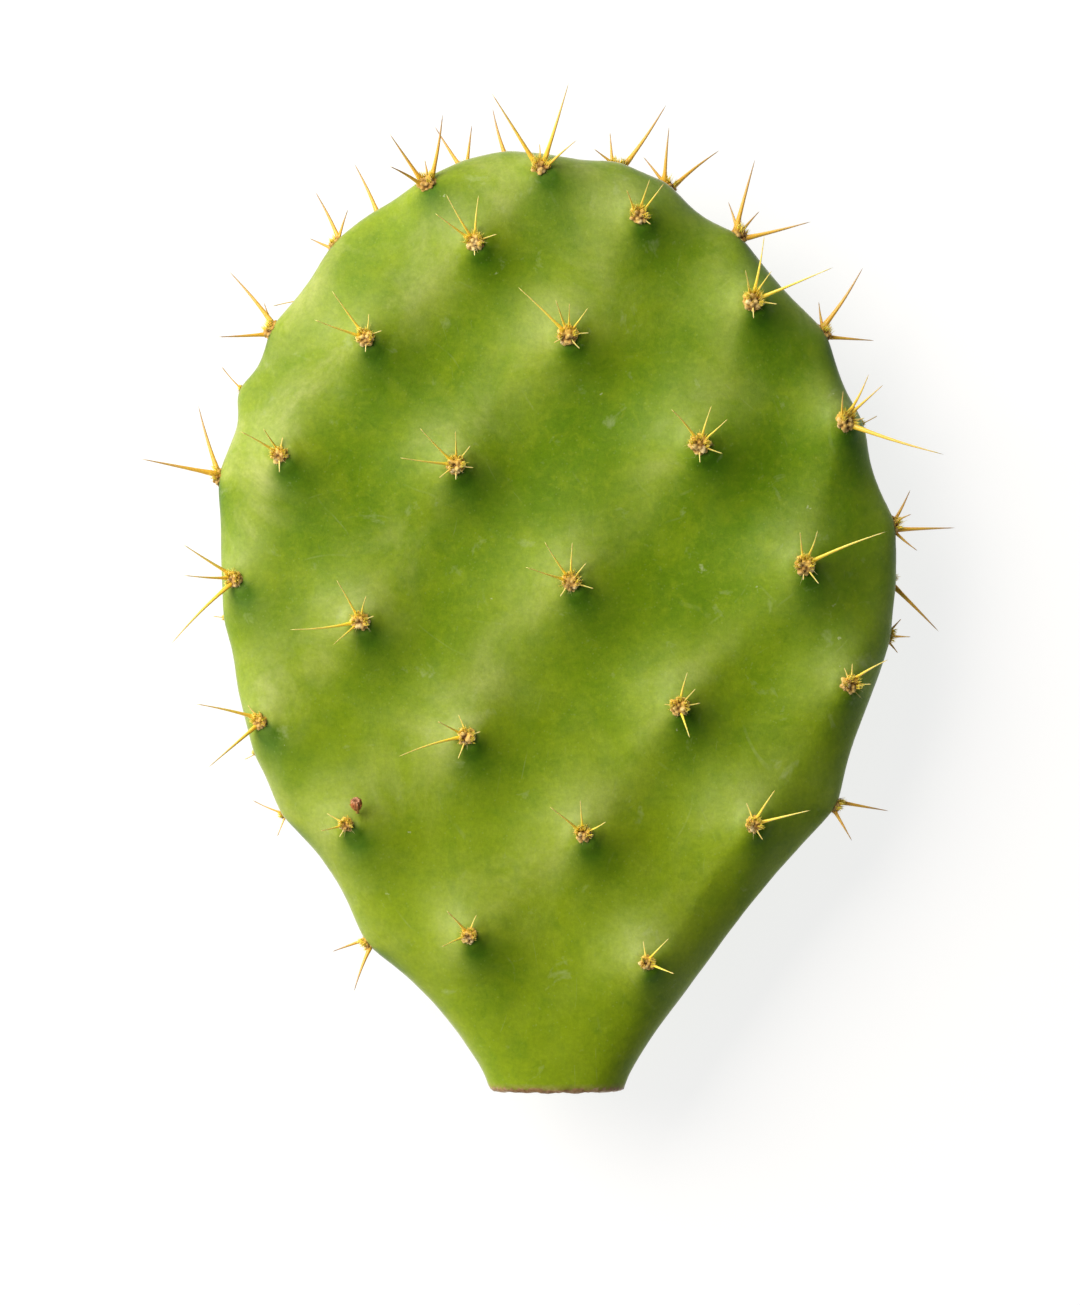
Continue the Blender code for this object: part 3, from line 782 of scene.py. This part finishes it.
def add_fibres(net, areole, directions, surface, random):
    """Loose fibres that start in the felt and stand off it."""
    steps = np.linspace(0, 1, FIBRE_POINTS)[:, None]
    age = weathered(areole.normal)
    for _ in range(FIBRES):
        start = random.integers(len(directions))
        if directions[start, 2] < FIBRE_LOWEST:
            continue
        aim = directions[start] + random.normal(0, FIBRE_SPLAY, 3)
        aim /= np.linalg.norm(aim)
        length = random.uniform(*FIBRE_LENGTH)
        curl = random.normal(0, FIBRE_CURL, 3) * length
        line = surface[start] + aim * length * (steps - FIBRE_SUNK) + curl * steps**2
        points, faces, _ = strand(areole, line, *FIBRE_MAKE)
        tipwards = directions[start, 1]
        net.add(points, faces, depth=1.0, tint=random.random(), tipwards=tipwards, weathered=age)


def add_felt(areole, ball, material, random):
    """A cushion of felted tufts, with loose fibres on it."""
    directions, faces = ball
    reach, depth, tint = lumpy(directions, random)
    surface = directions * reach[:, None] * areole.radius
    surface[:, 2] *= np.where(surface[:, 2] > 0, CUSHION_HEIGHT, CUSHION_UNDERSIDE)
    net = Net()
    net.add(
        in_place(areole, surface), faces,
        depth=depth, tint=tint, tipwards=directions[:, 1], weathered=weathered(areole.normal),
    )
    add_fibres(net, areole, directions, surface, random)
    name = areole.name.replace("areole", "felt")
    add_piece(name, net.mesh(name), material, areole.name)


# ---- spines ----


def add_spine(net, root, tip, girth, age, random):
    """One tapering, slightly bowed spine with a swollen root."""
    longer = tip + (tip - root) * SPINE_EXTRA
    if longer.z > 0:
        tip = longer
    length = (tip - root).length
    first, second = across((tip - root).normalized())
    turn = random.random() * 2 * math.pi
    aside = first * math.cos(turn) + second * math.sin(turn)
    bow = aside * length * SPINE_BOW * random.uniform(-1, 1)
    steps = np.linspace(0, 1, SPINE_RINGS)
    line = [root.lerp(tip, step) + bow * math.sin(math.pi * step) for step in steps]
    thickness = girth * (SPINE_ROOT_RADIUS + SPINE_ROOT_GROWTH * length)
    swelling, place, reach = SPINE_BULB
    bulb = 1 + swelling * fall(steps - place, reach)
    radii = np.maximum(thickness * (1 - steps) ** SPINE_TAPER * bulb, SPINE_TIP_RADIUS)
    points, faces, along = tube(as_array(line), radii, SPINE_SIDES, SPINE_FLATNESS)
    net.add(points, faces, along=along, length=length, tint=random.random(), weathered=age)


def add_hairs(net, areole, random):
    """A few long fine hairs that stand out all round the cushion."""
    steps = np.linspace(0, 1, HAIR_POINTS)[:, None]
    for _ in range(HAIRS):
        turn = random.uniform(0, 2 * math.pi)
        aim = np.array([math.cos(turn), math.sin(turn), random.uniform(*HAIR_RISE)])
        aim /= np.linalg.norm(aim)
        length = random.uniform(*HAIR_LENGTH) * areole.radius
        curl = random.normal(0, HAIR_CURL, 3) * length
        line = aim * (HAIR_FOOT * areole.radius + length * steps) + curl * steps**2
        points, faces, along = strand(areole, line, *HAIR_MAKE)
        net.add(points, faces, along=along, length=length, tint=random.random(), weathered=HAIR_AGE)


def add_bristles(net, areole, random):
    """Tufts of fine bristles on the side of the cushion that faces the pad's tip."""
    steps = np.linspace(0, 1, BRISTLE_POINTS)[:, None]
    for turn in np.linspace(*TUFT_ARC, TUFTS):
        turn = math.radians(turn + random.normal(0, TUFT_STRAY))
        side = np.array([math.cos(turn), math.sin(turn), 0.0])
        foot = side * TUFT_FOOT[0] + np.array([0, 0, TUFT_FOOT[1]])
        lean = side * random.uniform(*TUFT_LEAN) + np.array([0, TUFT_TIPWARDS, 1.0])
        tint = random.random()
        for _ in range(BRISTLES):
            start = (foot + random.normal(0, TUFT_WIDTH, 3)) * areole.radius
            aim = lean + random.normal(0, TUFT_SPLAY, 3)
            aim /= np.linalg.norm(aim)
            line = start + aim * random.uniform(*BRISTLE_LENGTH) * areole.radius * steps
            points, faces, along = strand(areole, line, *BRISTLE_MAKE)
            along = np.interp(along, (0, 1), BRISTLE_TONES)
            net.add(points, faces, along=along, length=TUFT_TONE, tint=tint, weathered=0.0)


def add_spines(areole, material, random):
    """The spines, bristles and hairs of one areole."""
    net = Net()
    for root, tip in areole.spines:
        add_spine(net, root, tip, areole.girth, weathered(areole.normal), random)
    add_bristles(net, areole, random)
    add_hairs(net, areole, random)
    name = areole.name.replace("areole", "spines")
    add_piece(name, net.mesh(name), material, areole.name)


# ---- small areoles ----


def place_small_areoles(skin):
    """Areoles where level rays meet the finished skin's rim, each with one short spine."""
    tree = ray_tree(skin.data, MM)
    placed = []
    for number, (bearing, lift, _, radius, heading, length) in enumerate(SMALL_AREOLES, 1):
        spot, normal = rim_spot(tree, bearing, lift)
        tip = spot + (level(heading) + UP * SMALL_SPINE_RISE).normalized() * length
        spot -= normal * FELT_SUNK
        name = f"small_areole_{number:02d}"
        placed.append(Areole(name, spot, normal, radius, ((spot, tip),), SMALL_GIRTH))
    return placed


# ---- dried bud ----


def bud_surface(turn, place, height):
    """A point on the bud, in its own axes, with +Z along it. Returns the point and its groove's depth."""
    stop = place * (len(BUD_PROFILE) - 1)
    radius, rise = (np.interp(stop, range(len(BUD_PROFILE)), column) for column in zip(*BUD_PROFILE))
    rise *= height
    sway, changes = BUD_WRINKLE_SWAY
    depth, number = BUD_WRINKLES
    wave = math.cos(turn * number + sway * noise.noise(Vector((SEED, rise * changes, 0))))
    groove = 0.5 - 0.5 * wave
    coarseness, length = BUD_ROUGHNESS
    rough = noise.noise(Vector((math.cos(turn) * radius, math.sin(turn) * radius, rise)) / length)
    radius *= BUD_GIRTH * (1 - depth * groove + coarseness * rough)
    return (math.cos(turn) * radius, math.sin(turn) * radius, rise), groove


def bud_body(net, height):
    """The wrinkled body, closed at its foot and at the hollow in its top."""
    places = np.linspace(0, 1, BUD_RINGS)
    turns = np.arange(BUD_SIDES) * 2 * math.pi / BUD_SIDES
    points, grooves = zip(*(bud_surface(turn, place, height) for place in places for turn in turns))
    faces = [*ring_faces(BUD_RINGS, BUD_SIDES), tuple(range(len(points) - BUD_SIDES, len(points)))]
    net.add(as_array(points), faces, along=np.repeat(places, BUD_SIDES), groove=np.array(grooves))


def bud_scale(net, height, start, turn, random):
    """One small withered scale that lies along the bud and curls off it at its tip."""
    length, width = (size * random.uniform(*SCALE_VARIATION) for size in SCALE_SIZE)
    out = np.array([math.cos(turn), math.sin(turn), 0.0])
    aside = np.array([-math.sin(turn), math.cos(turn), 0.0])
    hidden, pointedness = SCALE_OUTLINE
    thickness, slip = SCALE_INSIDE
    outer = []
    for row in np.linspace(0, 1, SCALE_ROWS):
        place = min(start + row * length / height * SCALE_CLIMB, 1.0)
        lift = SCALE_LIFT[0] + SCALE_LIFT[1] * row**2
        centre = np.array(bud_surface(turn, place, height)[0]) + out * lift
        half = width / 2 * math.sin(math.pi * (hidden + (1 - hidden) * row)) ** pointedness
        edge = centre - out * SCALE_KEEL
        outer += [edge - aside * half, centre + out * SCALE_KEEL, edge + aside * half]
    inner = np.array(outer) - (out - np.array(UP) * slip) * thickness
    faces = shell_faces(SCALE_ROWS, len(outer) // SCALE_ROWS)
    tone = min(start + SCALE_TONE[0], 1.0)
    net.add(np.concatenate([outer, inner]), faces, along=tone, groove=SCALE_TONE[1])


def add_bud(material):
    """The withered bud on its short stalk, with scales in a spiral up to its crown."""
    shape = packed_shape("dried_bud")
    foot, axis, _ = flat_side(shape)
    height = max((corner.co - foot).dot(axis) for corner in shape.verts)
    shape.free()
    random = np.random.default_rng(SEED)
    net = Net()
    bud_body(net, height)
    for number, start in enumerate(np.linspace(*SCALE_SPAN, BUD_SCALES, endpoint=False)):
        bud_scale(net, height, start, number * SPIRAL, random)
    axis.rotate(Quaternion(UP, math.radians(BUD_TURN)))
    axes = np.array([*across(axis), axis])
    net.points = [points @ axes + np.array(foot) for points in net.points]
    add_piece("withered_bud", net.mesh("withered_bud"), material, "dried_bud")


# ---- materials ----


def put(tree, kind, inputs=None, **settings):
    """A new shader node. Each input is a value or another node's output."""
    node = tree.nodes.new("ShaderNode" + kind)
    for name, value in settings.items():
        setattr(node, name, value)
    for name, value in (inputs or {}).items():
        if isinstance(value, bpy.types.NodeSocket):
            tree.links.new(value, node.inputs[name])
        else:
            node.inputs[name].default_value = value
    return node


def new_material(name, **shader_values):
    """A material with the given values on its Principled shader. Returns it, its tree and the shader."""
    material = bpy.data.materials.new(name)
    material.use_nodes = True
    tree = material.node_tree
    shader = tree.nodes["Principled BSDF"]
    for socket, value in shader_values.items():
        shader.inputs[socket.replace("_", " ")].default_value = value
    return material, tree, shader


def millimetres(tree):
    """The piece's own coordinates in millimetres."""
    here = put(tree, "TexCoord").outputs["Object"]
    scaled = put(tree, "VectorMath", {0: here, "Scale": 1 / MM}, operation="SCALE")
    return scaled.outputs["Vector"]


def noise_of(tree, where, length, detail=2.0, roughness=0.5, distortion=0.0):
    """Noise from 0 to 1 whose patches are about length across."""
    settings = {
        "Vector": where, "Scale": 1 / length, "Detail": detail,
        "Roughness": roughness, "Distortion": distortion,
    }
    return put(tree, "TexNoise", settings).outputs["Fac"]


def value_of(tree, name):
    return put(tree, "Attribute", attribute_name=name).outputs["Fac"]


def spread(tree, value, low, high, to_low=0.0, to_high=1.0):
    """Takes low..high to to_low..to_high, and stops at both ends."""
    settings = {"Value": value, "From Min": low, "From Max": high, "To Min": to_low, "To Max": to_high}
    return put(tree, "MapRange", settings).outputs["Result"]


def times(tree, first, second):
    return put(tree, "Math", {0: first, 1: second}, operation="MULTIPLY").outputs[0]


def mixed(tree, share, first, second, blend="MIX"):
    """Two colours mixed by a share, each a colour or an output."""
    first, second = ((*part, 1.0) if isinstance(part, tuple) else part for part in (first, second))
    inputs = {0: share, 6: first, 7: second}
    return put(tree, "Mix", inputs, data_type="RGBA", blend_type=blend).outputs[2]


def ramp(tree, value, stops):
    """A colour ramp with (position, colour) stops."""
    node = put(tree, "ValToRGB", {"Fac": value})
    elements = node.color_ramp.elements
    while len(elements) < len(stops):
        elements.new(0.5)
    for element, (position, colour) in zip(elements, stops):
        element.position = position
        element.color = (*colour, 1.0)
    return node.outputs["Color"]


def dots(tree, where, spacing):
    """The distance from the nearest of many scattered points, over their spacing."""
    return put(tree, "TexVoronoi", {"Vector": where, "Scale": 1 / spacing}).outputs["Distance"]


def strayed(tree, where, length, amount):
    """The same place, moved by smooth noise of the given length by up to about the given amount."""
    drift = put(tree, "TexNoise", {"Vector": where, "Scale": 1 / length, "Detail": 1.0})
    settings = {0: drift.outputs["Color"], 1: (0.5, 0.5, 0.5)}
    centred = put(tree, "VectorMath", settings, operation="SUBTRACT").outputs["Vector"]
    moved = put(tree, "VectorMath", {0: centred, "Scale": 4.0 * amount}, operation="SCALE")
    return put(tree, "VectorMath", {0: where, 1: moved.outputs["Vector"]}).outputs["Vector"]


def scratches(tree, where, direction, length):
    """Fine broken lines that run any way, most of them across the direction given."""
    settings = {
        "Vector": strayed(tree, where, *SCRATCH_BENDS), "Scale": SCRATCH_WAVES / length,
        "Distortion": 2.0, "Detail": 2.0,
    }
    bands = put(tree, "TexWave", settings, bands_direction=direction).outputs["Fac"]
    lines = spread(tree, bands, 0.990, 0.999)
    breaks = spread(tree, noise_of(tree, where, length, 4.0, 0.7), 0.56, 0.72)
    return times(tree, lines, breaks)


def nicks(tree, where, spacing, size, share):
    """Small pale marks, one in some of the cells of a loose grid."""
    settings = {"Vector": strayed(tree, where, *NICK_BENDS), "Scale": 1 / spacing}
    cells = put(tree, "TexVoronoi", settings).outputs
    marks = spread(tree, cells["Distance"], size * 0.5 / spacing, size / spacing, 1.0, 0.0)
    chosen = put(tree, "SeparateColor", {"Color": cells["Color"]}).outputs[0]
    return times(tree, marks, spread(tree, chosen, 1 - share, 1 - share + 0.05))


def source(tree, where, name, pattern):
    """What a layer's value comes from: a pattern, a coordinate, or one of the mesh's values."""
    patterns = {"noise": noise_of, "dots": dots, "scratches": scratches, "nicks": nicks}
    if name in patterns:
        return patterns[name](tree, where, *pattern)
    if name in ("X", "Y"):
        return put(tree, "SeparateXYZ", {"Vector": where}).outputs[name]
    return value_of(tree, name)


def layered(tree, where, colour, layers):
    """Lays each layer's colour over what is there already."""
    for layer in layers:
        share = 1.0
        for name, *limits in layer.spreads:
            value = source(tree, where, name, layer.pattern)
            share = times(tree, share, spread(tree, value, *limits))
        colour = mixed(tree, share, colour, layer.colour)
    return colour


def paint(tree, shader, colour, layers):
    """Gives the shader its colour, with the layers over it."""
    colour = layered(tree, millimetres(tree), colour, layers.values())
    tree.links.new(colour, shader.inputs["Base Color"])


def skin_colour(tree, where):
    """The skin's greens and bloom with fine specks and marks, and the cork of the cut."""
    greens = layered(tree, where, SKIN_GREEN, SKIN_LAYERS.values())
    specks = ramp(tree, spread(tree, noise_of(tree, where, *SPECK_NOISE), 0.3, 0.7), SPECK_RAMP)
    speckled = mixed(tree, SPECK_SHARE, greens, specks, "OVERLAY")
    living = layered(tree, where, speckled, SKIN_MARKS.values())
    return mixed(tree, spread(tree, value_of(tree, "callus"), 0.3, 0.7), living, cork(tree, where))


def cork(tree, where):
    """The scar of the cut: a pale middle, a ring of dark strands and a dark dry edge."""
    bends = noise_of(tree, where, CORK_ZONE_BENDS)
    bent = put(tree, "Math", {0: value_of(tree, "rings"), 1: bends}, operation="ADD").outputs[0]
    zones = ramp(tree, spread(tree, bent, *CORK_ZONE_ENDS), CORK_ZONES)
    fibres = ramp(tree, noise_of(tree, where, *CORK_FIBRE_NOISE), CORK_FIBRES)
    return layered(tree, where, mixed(tree, CORK_ZONE_SHARE, fibres, zones), [CORK_STRANDS])


def skin_material():
    material, tree, shader = new_material(
        "cactus_skin", Subsurface_Weight=0.1, Subsurface_Scale=0.0015, Subsurface_Radius=(0.6, 1.0, 0.1),
        Specular_IOR_Level=0.11, Sheen_Weight=0.5, Sheen_Roughness=0.28,
    )
    where = millimetres(tree)
    tree.links.new(skin_colour(tree, where), shader.inputs["Base Color"])
    gloss = spread(tree, noise_of(tree, where, *GLOSS_NOISE), *GLOSS_SPREAD)
    tree.links.new(gloss, shader.inputs["Roughness"])
    settings = {
        "Height": noise_of(tree, where, *BUMP_NOISE), "Strength": BUMP_STRENGTH,
        "Distance": BUMP_HEIGHT * MM,
    }
    tree.links.new(put(tree, "Bump", settings).outputs["Normal"], shader.inputs["Normal"])
    return material


def felt_material():
    material, tree, shader = new_material(
        "areole_felt", Roughness=0.9, Specular_IOR_Level=0.2, Sheen_Weight=0.12, Sheen_Roughness=0.5,
    )
    shade = ramp(tree, value_of(tree, "depth"), FELT_DEPTHS)
    hue = ramp(tree, value_of(tree, "tint"), FELT_HUES)
    paint(tree, shader, mixed(tree, FELT_HUE_SHARE, shade, hue), FELT_LAYERS)
    return material


def spine_material():
    material, tree, shader = new_material(
        "spine", Roughness=0.36, Subsurface_Weight=0.35, Subsurface_Scale=0.0006,
        Subsurface_Radius=(1.0, 0.6, 0.2),
    )
    fresh = ramp(tree, value_of(tree, "along"), SPINE_FRESH)
    old = ramp(tree, value_of(tree, "along"), SPINE_OLD)
    paint(tree, shader, mixed(tree, value_of(tree, "weathered"), fresh, old), SPINE_LAYERS)
    return material


def bud_material():
    material, tree, shader = new_material("dried_bud", Roughness=0.7, Specular_IOR_Level=0.3)
    paint(tree, shader, ramp(tree, value_of(tree, "along"), BUD_RAMP), BUD_LAYERS)
    return material


# ---- floor, light and camera ----


def add_floor():
    mesh = bpy.data.meshes.new("floor")
    half = FLOOR_SIZE / 2 * MM
    corners = [(-half, -half, 0), (half, -half, 0), (half, half, 0), (-half, half, 0)]
    mesh.from_pydata(corners, [], [(0, 1, 2, 3)])
    material, _, _ = new_material(
        "floor", Base_Color=(FLOOR_SHADE, FLOOR_SHADE, FLOOR_SHADE, 1.0), Roughness=0.9,
        Emission_Color=(1.0, 1.0, 1.0, 1.0), Emission_Strength=FLOOR_GLOW,
    )
    mesh.materials.append(material)
    floor = linked("floor", mesh)


def add_softbox(name, bearing, height, distance, size, power):
    """A square area light, placed by its bearing and height in degrees and aimed at the pad."""
    light = bpy.data.lights.new(name, "AREA")
    light.size = size * MM
    light.energy = power
    light.color = LIGHT_COLOUR
    lamp = linked(name, light)
    rise = math.radians(height)
    towards = level(bearing) * math.cos(rise) + UP * math.sin(rise)
    lamp.location = towards * distance * MM
    lamp.rotation_euler = (-towards).to_track_quat("-Z", "Y").to_euler()
    lamp.visible_camera = False


def add_world():
    world = bpy.data.worlds.new("studio")
    world.use_nodes = True
    background = world.node_tree.nodes["Background"]
    background.inputs["Color"].default_value = (*WORLD_COLOUR, 1.0)
    background.inputs["Strength"].default_value = WORLD_STRENGTH
    world.cycles_visibility.glossy = False
    bpy.context.scene.world = world


def add_camera():
    camera = bpy.data.cameras.new("camera")
    camera.sensor_width = SENSOR
    camera.lens = SENSOR * (CAMERA_DISTANCE - middle_height()) / VIEW_HEIGHT
    holder = linked("camera", camera)
    holder.location = Vector((*VIEW_CENTRE, CAMERA_DISTANCE)) * MM
    bpy.context.scene.camera = holder


# ---- the whole ----


def build():
    areoles = [read_areole(node) for node in sorted(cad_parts) if "areole" in node]
    skin = add_skin(areoles, skin_material())
    areoles += place_small_areoles(skin)
    add_bud(bud_material())
    felt = felt_material()
    spine = spine_material()
    ball = unit_ball()
    for number, areole in enumerate(areoles):
        random = np.random.default_rng(SEED + number)
        add_felt(areole, ball, felt, random)
        add_spines(areole, spine, random)
    add_floor()
    add_world()
    add_softbox("key", *KEY)
    add_softbox("side", *SIDE)
    add_camera()
    bpy.context.scene.view_settings.view_transform = "Standard"


build()
